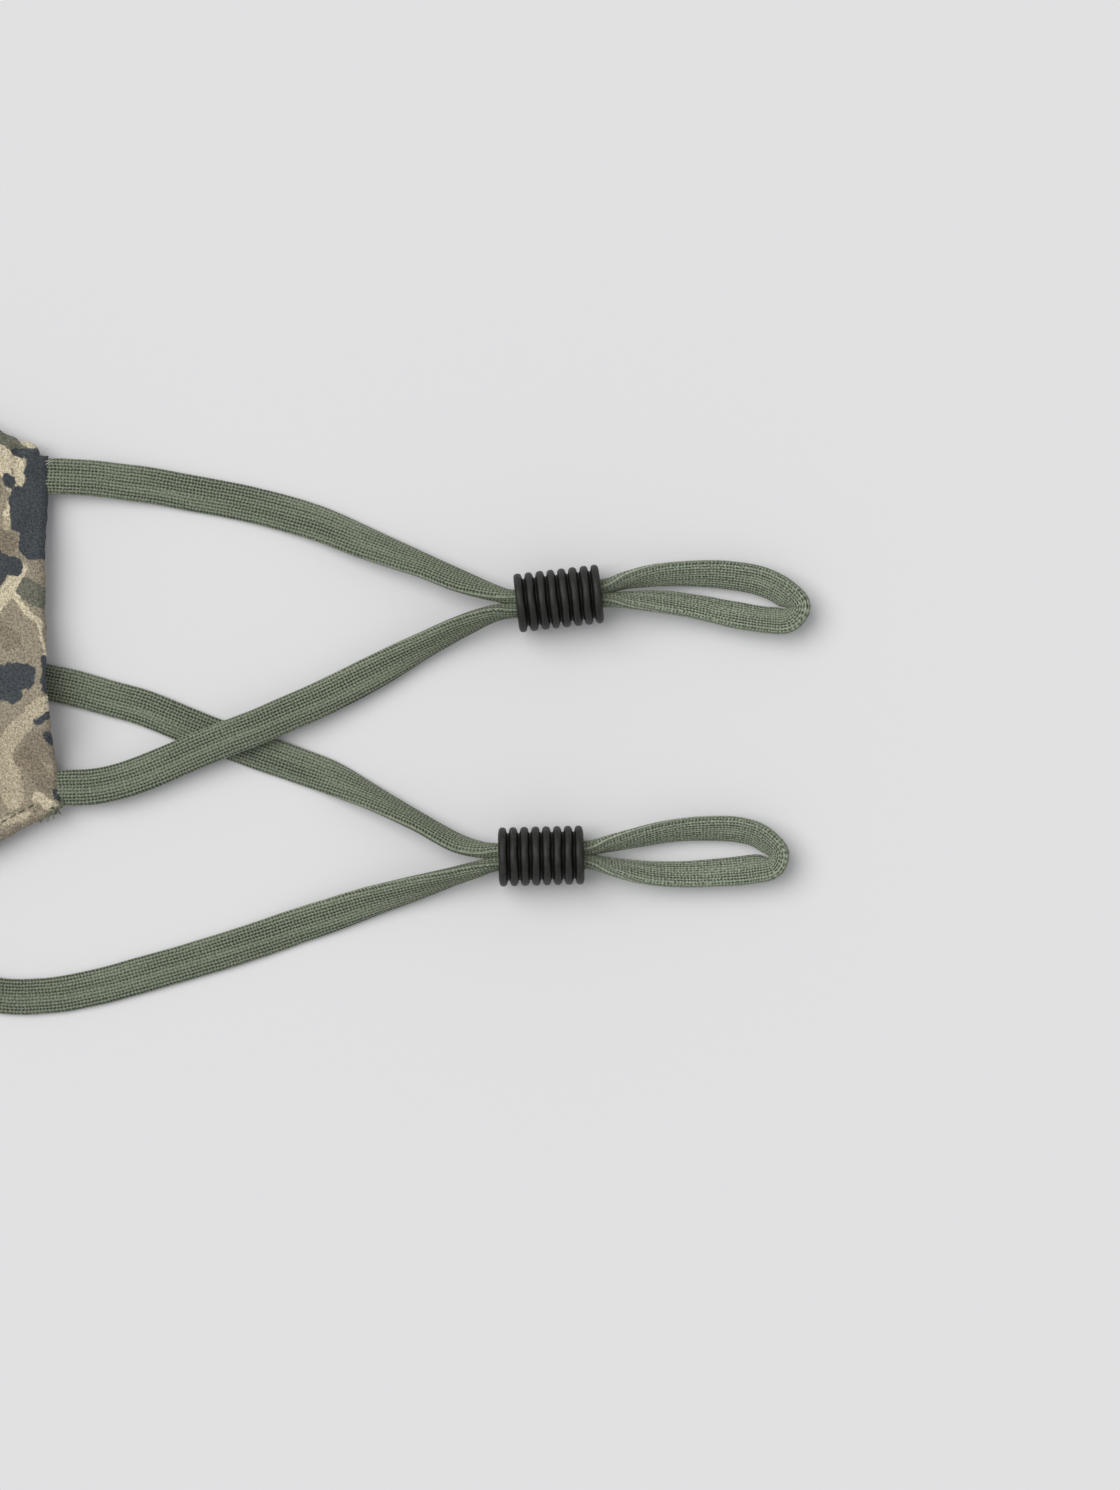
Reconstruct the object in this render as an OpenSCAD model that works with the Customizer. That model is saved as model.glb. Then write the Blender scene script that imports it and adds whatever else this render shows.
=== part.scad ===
// Contoured cloth face mask, folded in half and laid flat.
// Two mirror-image halves meet along a curved centre seam. The near half lies on the far half,
// turned a little about the fold. Each half carries a flat elastic ear loop with a ribbed stopper.
// Millimetres, +Z up, z = 0 at the surface that the mask lies on. The origin is at the middle of
// the folded mask's underside.

/* [Half outline] */
// Distance from the fold pivot to the side edge
half_len = 114; // [95:1:140]
// Height of the side edge between its two corners
side_h = 58.7; // [48:0.1:72]
// How far the side edge leans out towards its bottom corner
side_flare = 2; // [0:0.5:5]
// How far the side edge's control point is pulled in
side_bow = 2.4; // [0:0.2:5]
// Rise of the nose point above the side's top corner
nose_rise = 32.5; // [25:0.5:40]
// Drop of the chin point below the side's bottom corner
chin_drop = 39.8; // [30:0.1:48]
// Distance of the nose point from the fold pivot, along the half
nose_in = 14; // [8:1:20]
// Distance of the chin point from the fold pivot, along the half
chin_in = 24; // [16:1:30]
// How far the centre seam's control points bulge past the pivot
seam_bulge = 8; // [4:1:12]

/* [Fold] */
// Angle between the near half and the far half about the fold pivot
fold_skew = 17; // [10:1:24]
// Air gap between the two folded halves
fold_gap = 0.5; // [0.4:0.1:1.5]

/* [Cloth layers] */
// Thickness of the printed outer panel
outer_t = 0.7; // [0.5:0.1:1]
// Thickness of the interlining
interlining_t = 0.5; // [0.3:0.1:0.8]
// Thickness of the lining
lining_t = 0.6; // [0.4:0.1:0.9]

/* [Hems and seams] */
// Width of the side hem that holds the elastic
side_hem_w = 7; // [6.5:0.5:10]
// Width of the rolled top hem
top_hem_w = 4.5; // [3.7:0.1:7]
// Width of the rolled bottom hem
bottom_hem_w = 2.4; // [2:0.2:5]
// Width of the centre seam allowance
seam_w = 4; // [3:0.5:6]
// Height of the near half's rolled hems above its outer panel
hem_roll = 0.4; // [0.2:0.1:0.8]
// Length of one stitch
stitch_l = 1.8; // [1:0.1:2.2]
// Width of one stitch
stitch_w = 0.4; // [0.3:0.1:0.6]
// Height of one stitch above the cloth
stitch_h = 0.2; // [0.1:0.05:0.2]
// Number of stitches along each hem
stitch_count = 24; // [16:1:26]
// Length of one bar tack along the elastic
bartack_l = 1.6; // [1:0.1:3]
// How far a bar tack reaches past the elastic on each side
bartack_over = 0.3; // [0:0.1:0.5]

/* [Nose wire] */
// Width of the nose wire
wire_w = 2.2; // [1.5:0.1:2.6]
// Thickness of the nose wire
wire_t = 0.6; // [0.4:0.1:0.8]
// Clearance of the wire in its channel
wire_clearance = 0.1; // [0.05:0.05:0.2]

/* [Elastic ear loops] */
// Width of the flat elastic
strap_w = 6; // [5:0.1:7.2]
// Thickness of the flat elastic
strap_t = 1.2; // [1:0.05:1.45]
// Width of the elastic where the stopper squeezes it
squeezed_w = 4.2; // [3.6:0.1:4.6]
// Thickness of the elastic where the stopper squeezes it
squeezed_t = 1.7; // [1.4:0.1:1.8]
// Clearance around the elastic in its hem pocket
pocket_clearance = 0.05; // [0.05:0.05:0.2]

/* [Stoppers] */
// Length of a stopper
stopper_len = 14.2; // [12:0.1:17]
// Diameter over the ribs
stopper_d = 9.8; // [8.2:0.1:11.7]
// Diameter at the bottom of the grooves
groove_d = 8.0; // [7.4:0.1:8.1]
// Diameter of the bore that both strands pass through
bore_d = 5.6; // [5.4:0.1:6.7]
// Number of ribs
rib_count = 8; // [5:1:10]
// Thickness of one rib
rib_t = 1.2; // [0.8:0.1:1.3]

/* [Hidden] */
$fn = 64;

cloth_brown = "#8f8672";
cloth_navy = "#45494c";
lining_grey = "#8c8c86";
elastic_green = "#727863";
stopper_black = "#282826";
wire_grey = "#9a9a9a";

// The near side edge's top corner, in the mask's own frame
side_corner = [57, 35.5];
// Height of the side edge's top corner above the fold pivot
pivot_drop = 10.5;
fold_pivot = side_corner - [half_len, pivot_drop];

// Corners of one half, measured from the fold pivot
side_top = [half_len, pivot_drop];
side_bottom = side_top + [side_flare, -side_h];
nose = [nose_in, side_top.y + nose_rise];
chin = [chin_in, side_bottom.y - chin_drop];

stitch_size = [stitch_l, stitch_w, stitch_h];
bartack_size = [bartack_l, strap_w + 2 * bartack_over, stitch_h];

// Stack of the cloth layers
half_t = outer_t + interlining_t + lining_t;
near_z = half_t + fold_gap;
near_middle = near_z + half_t / 2;
far_middle = half_t / 2;
bore_z = stopper_d / 2;
curve_steps = 24;
cut_margin = 10;

// Routes of the elastic, from hem to hem through the stopper and back.
// Each point is [x, y, z, roll of the band's width in degrees, share of the full squeeze].
near_route = [
    [51.5, 32, near_middle, 0, 0], [57.5, 32, near_middle, 0, 0], [68, 31.4, 1.9, 0, 0],
    [79, 29.7, 0.9, 0, 0], [90, 27.5, 0.7, 0, 0], [101, 24.3, 1.1, -8, 0], [110, 20.6, 2, -25, 0],
    [118.5, 17.4, 3, -45, 0], [126, 14.3, 4, -62, 0.2], [131, 12.5, 4.7, -80, 0.7],
    [134.2, 11.7, bore_z, -90, 1], [149.1, 13.4, bore_z, -90, 1], [153, 14.6, 4.4, -108, 0.4],
    [158, 15.5, 3.5, -125, 0], [164, 15.8, 2.9, -132, 0], [170, 15.6, 2.8, -133, 0],
    [176, 14.6, 2.9, -126, 0], [180.5, 12.9, 3.1, -112, 0], [182.9, 10.5, 3.2, -90, 0],
    [181.3, 8.5, 3.1, -70, 0], [177, 8.2, 2.9, -52, 0], [171, 9, 2.8, -46, 0],
    [165, 10.2, 3, -48, 0], [159, 11.1, 3.6, -58, 0], [153.5, 11.4, 4.4, -75, 0.4],
    [149.3, 11.5, bore_z, -90, 1], [134.4, 9.8, bore_z, -90, 1], [131, 9.2, 4.7, -80, 0.7],
    [126, 7.2, 4, -62, 0.2], [119, 3.7, 3.1, -46, 0], [111, -0.7, 2.5, -28, 0],
    [102, -5.2, 2.3, -10, 0], [92, -9.5, 2.6, 0, 0], [82, -13.4, 2.7, 0, 0],
    [72, -17.8, 2.9, 0, 0], [65, -19.5, 3.1, 0, 0], [58.8, -19.8, near_middle, 0, 0],
    [52.8, -20, near_middle, 0, 0]
];
far_route = [
    [48.3, 0.1, far_middle, 0, 0], [54, -1.6, far_middle, 0, 0], [62, -3.4, 0.8, 0, 0],
    [72, -6.2, 0.7, 0, 0], [82, -10.2, 0.7, 0, 0], [92, -13.8, 0.8, 0, 0], [102, -17.3, 1.5, -16, 0],
    [110, -21, 2.4, -38, 0], [118, -25.2, 3.2, -52, 0], [125, -29, 4.1, -64, 0.2],
    [129, -30.1, 4.7, -80, 0.7], [131.4, -30.3, bore_z, -90, 1], [146.4, -29.9, bore_z, -90, 1],
    [150, -29.1, 4.4, -105, 0.4], [154.5, -28.1, 3.7, -120, 0], [160, -27, 3.1, -130, 0],
    [166, -26.5, 2.9, -133, 0], [172, -26.7, 2.9, -128, 0], [176.5, -28, 3.1, -114, 0],
    [179.2, -30.6, 3.2, -92, 0], [178.4, -32.7, 3.1, -72, 0], [174.5, -33.4, 2.9, -52, 0],
    [168.5, -33.9, 2.8, -42, 0], [162, -34.2, 2.9, -42, 0], [156, -33.8, 3.5, -54, 0],
    [150.5, -32.8, 4.4, -75, 0.4], [146.4, -31.8, bore_z, -90, 1], [131.4, -32.2, bore_z, -90, 1],
    [128.5, -33.1, 4.6, -78, 0.6], [124, -34.5, 3.9, -60, 0.2], [117, -36.8, 2.9, -44, 0],
    [108, -39.6, 1.9, -20, 0], [98, -43.1, 1, -6, 0], [87, -46.7, 0.7, 0, 0],
    [76, -50, 0.7, 0, 0], [65, -52.9, 0.7, 0, 0], [56, -54.5, 0.7, 0, 0],
    [49, -54.5, 0.8, 0, 0], [40.6, -51.8, far_middle, 0, 0], [34.8, -50.5, far_middle, 0, 0]
];
corner_cut = 0.3;

// Stopper centres and the directions of their bores
near_stopper_at = [141.8, 11.6, bore_z];
near_stopper_turn = 6.6;
far_stopper_at = [138.9, -31.05, bore_z];
far_stopper_turn = 1.5;

function reversed(list) = [for (i = [len(list) - 1 : -1 : 0]) list[i]];
function turned(p, angle) =
    [p.x * cos(angle) - p.y * sin(angle), p.x * sin(angle) + p.y * cos(angle)];
function unit(v) = v / norm(v);
function between(a, b, share) = a + (b - a) * share;

function curve3_at(a, b, c, t) = (1 - t) ^ 2 * a + 2 * t * (1 - t) * b + t ^ 2 * c;
function curve3(a, b, c, from = 0, to = 1) =
    [for (i = [0 : curve_steps]) curve3_at(a, b, c, between(from, to, i / curve_steps))];
function curve4(a, b, c, d) =
    [for (i = [0 : curve_steps]) let (t = i / curve_steps, s = 1 - t)
        s ^ 3 * a + 3 * s ^ 2 * t * b + 3 * s * t ^ 2 * c + t ^ 3 * d];

// Points moved sideways, to the left of the way that the list runs
function shifted(points, distance) =
    [for (i = [0 : len(points) - 1])
        let (ahead = points[min(i + 1, len(points) - 1)],
             behind = points[max(i - 1, 0)],
             along = unit(ahead - behind))
        points[i] + distance * [-along.y, along.x]];
function band(points, from, to) =
    concat(shifted(points, from), reversed(shifted(points, to)));

// The four edges of a half. Each runs with the cloth on its left.
top_control = [between(nose.x, side_top.x, 0.56), between(side_top.y, nose.y, 0.69)];
bottom_control = [between(chin.x, side_bottom.x, 0.59), between(side_bottom.y, chin.y, 0.55)];
side_control = [half_len - side_bow, (side_top.y + side_bottom.y) / 2];
top_edge = curve3(side_top, top_control, nose);
bottom_edge = curve3(chin, bottom_control, side_bottom);
side_edge = curve3(side_bottom, side_control, side_top);
centre_seam = curve4(nose, [-seam_bulge, 0.28 * nose.y], [-seam_bulge, 0.45 * chin.y], chin);
// The fold runs between the two halves' seams; turn is -1 on the near half and 1 on the far half
function fold_edge(turn) = [for (p = centre_seam) turned(p, turn * fold_skew / 2)];
function outline(turn) =
    let (fold = fold_edge(turn), top = fold[0], bottom = fold[len(fold) - 1])
    concat([for (p = top_edge) if (p.x > top.x + 1) p], fold,
           [for (p = bottom_edge) if (p.x > bottom.x + 1) p],
           [for (i = [1 : curve_steps - 1]) side_edge[i]]);

module half_shape(turn) {
    polygon(outline(turn));
}

module side_band() {
    above = side_top + [0, cut_margin];
    below = side_bottom - [0, cut_margin];
    polygon(band(concat([below], side_edge, [above]), -cut_margin, side_hem_w));
}

module seam_band(turn) {
    polygon(band(fold_edge(turn), -cut_margin, seam_w));
}

module top_band() {
    polygon(band(top_edge, -cut_margin, top_hem_w));
}

module bottom_band() {
    polygon(band(bottom_edge, -cut_margin, bottom_hem_w));
}

module panel_shape(turn) {
    difference() {
        half_shape(turn);
        side_band();
        seam_band(turn);
        top_band();
        bottom_band();
    }
}

module side_hem_shape(turn) {
    intersection() {
        half_shape(turn);
        side_band();
    }
}

module seam_shape(turn) {
    intersection() {
        half_shape(turn);
        seam_band(turn);
    }
}

module edge_hem_shape(turn) {
    difference() {
        intersection() {
            half_shape(turn);
            children();
        }
        side_band();
        seam_band(turn);
    }
}

// Puts a half's flat work on the mask, at a height above the surface that the mask lies on
module near_place(z) {
    translate([fold_pivot.x, fold_pivot.y, z]) children();
}

module far_place(z) {
    translate([fold_pivot.x, fold_pivot.y, z]) rotate([0, 0, -fold_skew]) children();
}

// The space that one end of the elastic takes inside the side hem
module pocket(inner, edge) {
    run = [edge.x - inner.x, edge.y - inner.y];
    length = norm(run) + cut_margin;
    height = strap_t + 2 * pocket_clearance;
    width = strap_w + 2 * pocket_clearance;
    translate([inner.x, inner.y, inner.z])
        rotate([0, 0, atan2(run.y, run.x)])
            translate([-pocket_clearance, -width / 2, -height / 2]) cube([length, width, height]);
}

module route_pockets(route) {
    last = len(route) - 1;
    pocket(route[0], route[1]);
    pocket(route[last], route[last - 1]);
}

// One bar tack across the middle of a pocket
module bartack(inner, edge, z) {
    run = [edge.x - inner.x, edge.y - inner.y];
    translate([(inner.x + edge.x) / 2, (inner.y + edge.y) / 2, z])
        rotate([0, 0, atan2(run.y, run.x)])
            translate([-bartack_size.x / 2, -bartack_size.y / 2, 0]) cube(bartack_size);
}

module route_bartacks(route, z) {
    last = len(route) - 1;
    bartack(route[0], route[1], z);
    bartack(route[last], route[last - 1], z);
}

// The nose wire follows the top hem's middle line on either side of the nose
module wire_shape(clearance) {
    path = curve3(side_top, top_control, nose, 0.62, 0.88);
    middle = top_hem_w / 2;
    half_w = wire_w / 2 + clearance;
    polygon(band(path, middle - half_w, middle + half_w));
}

// A row of stitches just inside a hem, at the height where the layer lies
module stitch_row(points, hem_w) {
    inset = hem_w + stitch_w;
    path = shifted(points, inset);
    for (i = [1 : stitch_count - 1]) {
        spot = (i + 0.5) * (len(path) - 1) / (stitch_count + 1);
        low = floor(spot);
        here = between(path[low], path[low + 1], spot - low);
        along = path[low + 1] - path[low];
        translate([here.x, here.y, 0])
            rotate([0, 0, atan2(along.y, along.x)])
                translate([-stitch_size.x / 2, -stitch_size.y / 2, 0]) cube(stitch_size);
    }
}

module stitches(turn) {
    last = len(centre_seam) - 1;
    top_start = max(nose.x, turned(centre_seam[0], turn * fold_skew / 2).x) + seam_w + 2;
    bottom_start = max(chin.x, turned(centre_seam[last], turn * fold_skew / 2).x) + seam_w + 4;
    far_side = half_len - side_hem_w - 1;
    stitch_row([for (p = top_edge) if (p.x > top_start && p.x < far_side) p], top_hem_w);
    stitch_row([for (p = bottom_edge) if (p.x > bottom_start && p.x < far_side) p], bottom_hem_w);
}

// The flat band with its corners cut, swept along a route
function band_section(w, t) =
    let (a = w / 2, b = t / 2, c = corner_cut)
    [[a - c, b], [-a + c, b], [-a, b - c], [-a, -b + c], [-a + c, -b], [a - c, -b], [a, -b + c],
     [a, b - c]];
function at3(p) = [p[0], p[1], p[2]];
function ring(route, i) =
    let (last = len(route) - 1,
         along = unit(at3(route[min(i + 1, last)]) - at3(route[max(i - 1, 0)])),
         side = unit([-along.y, along.x, 0]),
         up = cross(along, side),
         across = cos(route[i][3]) * side + sin(route[i][3]) * up,
         out = cross(along, across),
         w = between(strap_w, squeezed_w, route[i][4]),
         t = between(strap_t, squeezed_t, route[i][4]))
    [for (q = band_section(w, t)) at3(route[i]) + q.x * across + q.y * out];

module elastic(route) {
    n = 8;
    rings = len(route);
    points = [for (i = [0 : rings - 1]) each ring(route, i)];
    walls = [for (i = [0 : rings - 2], j = [0 : n - 1])
        let (k = (j + 1) % n, a = i * n + j, b = i * n + k, c = (i + 1) * n + k, d = (i + 1) * n + j)
        each [[a, b, c], [a, c, d]]];
    first_cap = [for (j = [n - 1 : -1 : 0]) j];
    last_cap = [for (j = [0 : n - 1]) (rings - 1) * n + j];
    polyhedron(concat(points), concat(walls, [first_cap, last_cap]));
}

module stopper(at, turn) {
    body_r = groove_d / 2;
    tip_r = rib_t / 2;
    pitch = (stopper_len - rib_t) / (rib_count - 1);
    translate(at) rotate([0, 90, turn]) translate([0, 0, -stopper_len / 2]) {
        difference() {
            union() {
                translate([0, 0, tip_r / 2]) cylinder(r = body_r, h = stopper_len - tip_r);
                for (i = [0 : rib_count - 1]) {
                    translate([0, 0, tip_r + i * pitch]) rib(tip_r);
                }
            }
            translate([0, 0, -1]) cylinder(d = bore_d, h = stopper_len + 2);
        }
    }
}

module rib(tip_r) {
    rim_r = stopper_d / 2 - tip_r;
    translate([0, 0, -tip_r]) cylinder(r = rim_r, h = rib_t);
    rotate_extrude() translate([rim_r, 0]) circle(r = tip_r);
}

module outer_panel_near() {
    color(cloth_brown) near_place(near_z + lining_t + interlining_t)
        linear_extrude(outer_t) panel_shape(-1);
}

module interlining_near() {
    color(lining_grey) near_place(near_z + lining_t)
        linear_extrude(interlining_t) panel_shape(-1);
}

module lining_near() {
    color(lining_grey) near_place(near_z)
        linear_extrude(lining_t) panel_shape(-1);
}

module side_hem_near() {
    color(cloth_navy) difference() {
        near_place(near_z) linear_extrude(half_t) side_hem_shape(-1);
        route_pockets(near_route);
    }
}

module top_hem_near() {
    color(cloth_navy) difference() {
        near_place(near_z) linear_extrude(half_t + hem_roll) edge_hem_shape(-1) top_band();
        near_place(near_z + half_t / 2 - wire_t / 2 - wire_clearance)
            linear_extrude(wire_t + 2 * wire_clearance) wire_shape(wire_clearance);
    }
}

module bottom_hem_near() {
    color(cloth_brown) near_place(near_z)
        linear_extrude(half_t + hem_roll) edge_hem_shape(-1) bottom_band();
}

module centre_seam_near() {
    color(cloth_brown) near_place(near_z)
        linear_extrude(half_t) seam_shape(-1);
}

module nose_wire_near() {
    color(wire_grey) near_place(near_z + half_t / 2 - wire_t / 2)
        linear_extrude(wire_t) wire_shape(0);
}

module hem_stitches_near() {
    color(cloth_navy) near_place(near_z + half_t) stitches(-1);
}

module bartacks_near() {
    color(cloth_navy) route_bartacks(near_route, near_z - bartack_size.z);
}

module ear_loop_near() {
    color(elastic_green) elastic(near_route);
}

module cord_stopper_near() {
    color(stopper_black) stopper(near_stopper_at, near_stopper_turn);
}

module outer_panel_far() {
    color(cloth_brown) far_place(0)
        linear_extrude(outer_t) panel_shape(1);
}

module interlining_far() {
    color(lining_grey) far_place(outer_t)
        linear_extrude(interlining_t) panel_shape(1);
}

module lining_far() {
    color(lining_grey) far_place(outer_t + interlining_t)
        linear_extrude(lining_t) panel_shape(1);
}

module side_hem_far() {
    color(cloth_navy) difference() {
        far_place(0) linear_extrude(half_t) side_hem_shape(1);
        route_pockets(far_route);
    }
}

module top_hem_far() {
    color(cloth_navy) difference() {
        far_place(0) linear_extrude(half_t) edge_hem_shape(1) top_band();
        far_place(half_t / 2 - wire_t / 2 - wire_clearance)
            linear_extrude(wire_t + 2 * wire_clearance) wire_shape(wire_clearance);
    }
}

module bottom_hem_far() {
    color(cloth_brown) far_place(0)
        linear_extrude(half_t) edge_hem_shape(1) bottom_band();
}

module centre_seam_far() {
    color(cloth_brown) far_place(0)
        linear_extrude(half_t) seam_shape(1);
}

module nose_wire_far() {
    color(wire_grey) far_place(half_t / 2 - wire_t / 2)
        linear_extrude(wire_t) wire_shape(0);
}

module hem_stitches_far() {
    color(cloth_navy) far_place(half_t) stitches(1);
}

module bartacks_far() {
    color(cloth_navy) route_bartacks(far_route, half_t);
}

module ear_loop_far() {
    color(elastic_green) elastic(far_route);
}

module cord_stopper_far() {
    color(stopper_black) stopper(far_stopper_at, far_stopper_turn);
}

outer_panel_near();
interlining_near();
lining_near();
side_hem_near();
top_hem_near();
bottom_hem_near();
centre_seam_near();
nose_wire_near();
hem_stitches_near();
bartacks_near();
ear_loop_near();
cord_stopper_near();
outer_panel_far();
interlining_far();
lining_far();
side_hem_far();
top_hem_far();
bottom_hem_far();
centre_seam_far();
nose_wire_far();
hem_stitches_far();
bartacks_far();
ear_loop_far();
cord_stopper_far();
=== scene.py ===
import math
import random

import bpy
import numpy as np
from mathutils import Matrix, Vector, noise


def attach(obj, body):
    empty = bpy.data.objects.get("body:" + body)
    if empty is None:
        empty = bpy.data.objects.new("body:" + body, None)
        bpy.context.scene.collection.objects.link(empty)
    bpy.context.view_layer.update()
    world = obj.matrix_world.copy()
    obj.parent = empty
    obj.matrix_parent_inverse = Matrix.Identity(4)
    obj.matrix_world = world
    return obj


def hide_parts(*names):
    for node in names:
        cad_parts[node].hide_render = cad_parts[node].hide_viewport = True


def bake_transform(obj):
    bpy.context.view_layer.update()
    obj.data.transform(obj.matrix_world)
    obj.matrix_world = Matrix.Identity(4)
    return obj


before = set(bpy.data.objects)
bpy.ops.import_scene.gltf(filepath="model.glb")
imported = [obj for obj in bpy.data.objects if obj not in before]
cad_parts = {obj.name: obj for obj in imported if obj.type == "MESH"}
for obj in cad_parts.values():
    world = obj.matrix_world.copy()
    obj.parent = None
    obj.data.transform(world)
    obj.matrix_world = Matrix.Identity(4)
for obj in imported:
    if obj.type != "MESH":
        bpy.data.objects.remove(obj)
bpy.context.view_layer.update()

MM = 0.001

# ------ sizes, in millimetres, as the frame was built
HALF_LEN = 114.0
SIDE_H = 58.7
SIDE_FLARE = 2.0
SIDE_BOW = 2.4
NOSE_RISE = 32.5
CHIN_DROP = 39.8
NOSE_IN = 14.0
CHIN_IN = 24.0
SEAM_BULGE = 8.0
FOLD_SKEW = 17.0
SIDE_CORNER = np.array([57.0, 35.5])
PIVOT_DROP = 10.5
FOLD_PIVOT = SIDE_CORNER - np.array([HALF_LEN, PIVOT_DROP])

OUTER_T = 0.7
INTERLINING_T = 0.5
LINING_T = 0.6
HALF_T = OUTER_T + INTERLINING_T + LINING_T
NEAR_Z = HALF_T + 0.5
SIDE_HEM_W = 7.0
TOP_HEM_W = 4.5
BOTTOM_HEM_W = 2.4
SIDE_STITCH_IN = 10.4
TOP_STITCH_IN = TOP_HEM_W + 0.25
BOTTOM_STITCH_IN = BOTTOM_HEM_W + 0.25
SEAM_STITCH_IN = 3.2

# The fold's hinge: where its axis runs, its full angle, and from where the weights give the cloth wholly to
# its half
AXIS_AT = np.array([-60.7, 9.4])
AXIS_WAY = np.array([0.0721, 0.9974])
OPEN_ANGLE = 110.0
RIGID_FROM = 90.0

STRAP_W = 6.0
STRAP_T = 1.75
SQUEEZED_W = 4.3
SQUEEZED_T = 2.6
STRAP_RIBS = 12
TIP_DRAWN_IN = {"near": 1.6, "far": 1.1}
STOPPER_D = 9.8
STOPPER_LEN = 14.2
GROOVE_D = 8.0
BORE_D = 5.6
RIB_COUNT = 8
RIB_W = 1.45
BORE_Z = STOPPER_D / 2
NEAR_MIDDLE = NEAR_Z + HALF_T / 2
FAR_MIDDLE = HALF_T / 2

# Where the near band rides over the far one: middle of the hump, its height and its reach, on each band
OVER_HUMP = {"near": ((93.0, -10.0), 1.15, 20.0), "far": ((103.0, -17.5), -0.7, 7.5)}

# Each stopper's middle, and its turn in degrees
STOPPER_AT = {"near": np.array([141.8, 11.6, BORE_Z]), "far": np.array([138.9, -31.05, BORE_Z])}
STOPPER_TURN = {"near": 6.6, "far": 1.5}

# The elastic's route on each half: x, y, z, then the band's roll in degrees and its share of the full squeeze
NEAR_ROUTE = [
    (51.5, 32, NEAR_MIDDLE), (57.5, 32, NEAR_MIDDLE), (68, 31.4, 1.9), (79, 29.7, 0.9), (90, 27.5, 0.7),
    (101, 24.3, 1.1, -8, 0), (110, 20.6, 2, -24, 0.1), (118.5, 17.4, 3, -38, 0.5), (126, 14.3, 4, -46, 0.7),
    (131, 12.5, 4.7, -68, 0.9), (134.2, 11.7, BORE_Z, -90, 1), (149.1, 13.4, BORE_Z, -90, 1),
    (153, 14.6, 4.4, -114, 0.85), (158, 15.5, 3.5, -134, 0.75), (164, 15.8, 2.9, -142, 0.65),
    (170, 15.6, 2.8, -146, 0.35), (176, 14.6, 2.9, -146, 0.3), (180.5, 12.9, 3.1, -144, 0.3),
    (182.9, 10.5, 3.2, -142, 0.3), (181.3, 8.5, 3.1, -142, 0.25), (177, 8.2, 2.9, -142, 0.3),
    (171, 9, 2.8, -144, 0.45), (165, 10.2, 3, -142, 0.65), (159, 11.1, 3.6, -136, 0.75),
    (153.5, 11.4, 4.4, -116, 0.85), (149.3, 11.5, BORE_Z, -90, 1), (134.4, 9.8, BORE_Z, -90, 1),
    (131, 9.2, 4.7, -68, 0.9), (126, 7.2, 4, -48, 0.7), (119, 3.7, 3.1, -34, 0.45),
    (111, -0.7, 2.5, -14, 0.1), (102, -5.2, 2.3, -3, 0), (92, -9.5, 2.6), (82, -13.4, 2.7),
    (72, -17.8, 2.9), (65, -19.5, 3.1), (58.8, -19.8, NEAR_MIDDLE), (52.8, -20, NEAR_MIDDLE),
]
FAR_ROUTE = [
    (48.3, 0.1, FAR_MIDDLE), (54, -1.6, FAR_MIDDLE), (62, -3.4, 0.8), (72, -6.2, 0.7), (82, -10.2, 0.7),
    (92, -13.8, 0.8), (102, -17.3, 1.5, -5, 0.1), (110, -21, 2.4, -36, 0.5), (118, -25.2, 3.2, -56, 0.75),
    (125, -29, 4.1, -58, 0.8), (129, -30.1, 4.7, -74, 0.95), (131.4, -30.3, BORE_Z, -90, 1),
    (146.4, -29.9, BORE_Z, -90, 1), (150, -29.1, 4.4, -110, 0.85), (154.5, -28.1, 3.7, -124, 0.8),
    (160, -27, 3.1, -134, 0.7), (166, -26.5, 2.9, -140, 0.55), (172, -26.7, 2.9, -142, 0.4),
    (176.5, -28, 3.1, -138, 0.35), (179.2, -30.6, 3.2, -132, 0.3), (178.4, -32.7, 3.1, -136, 0.3),
    (174.5, -33.4, 2.9, -144, 0.2), (168.5, -33.9, 2.8, -143, 0.35), (162, -34.2, 2.9, -142, 0.5),
    (156, -33.8, 3.5, -136, 0.65), (150.5, -32.8, 4.4, -114, 0.85), (146.4, -31.8, BORE_Z, -90, 1),
    (131.4, -32.2, BORE_Z, -90, 1), (128.5, -33.1, 4.6, -72, 0.9), (124, -34.5, 3.9, -58, 0.75),
    (117, -36.8, 2.9, -38, 0.45), (108, -39.6, 1.9, -22, 0.15), (98, -43.1, 1, -6, 0), (87, -46.7, 0.7),
    (76, -50, 0.7), (65, -52.9, 0.7), (56, -54.5, 0.7), (49, -54.5, 0.8), (40.6, -51.8, FAR_MIDDLE),
    (34.8, -50.5, FAR_MIDDLE),
]

# Folds that the elastic pulls out of the side hem: their root, their reach and their height
ROOT_FOLDS = (((57, 32), 34, 0.7), ((58, -19.8), 38, 0.9))

# Each turned hem: its width, its line of stitches, how proud it stands and how deep the stitches pull
HEMS = {"side": (SIDE_HEM_W, SIDE_STITCH_IN, 0.35, 0.22), "top": (TOP_HEM_W, TOP_STITCH_IN, 0.4, 0.22),
        "bottom": (BOTTOM_HEM_W, BOTTOM_STITCH_IN, 0.4, 0.4)}

# Colours of the print
TAUPE = (0.300, 0.262, 0.196)
BEIGE = (0.455, 0.400, 0.292)
CREAM = (0.590, 0.525, 0.385)
OLIVE = (0.150, 0.152, 0.120)
NAVY = (0.058, 0.067, 0.076)
BROWN = (0.240, 0.204, 0.152)

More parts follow.
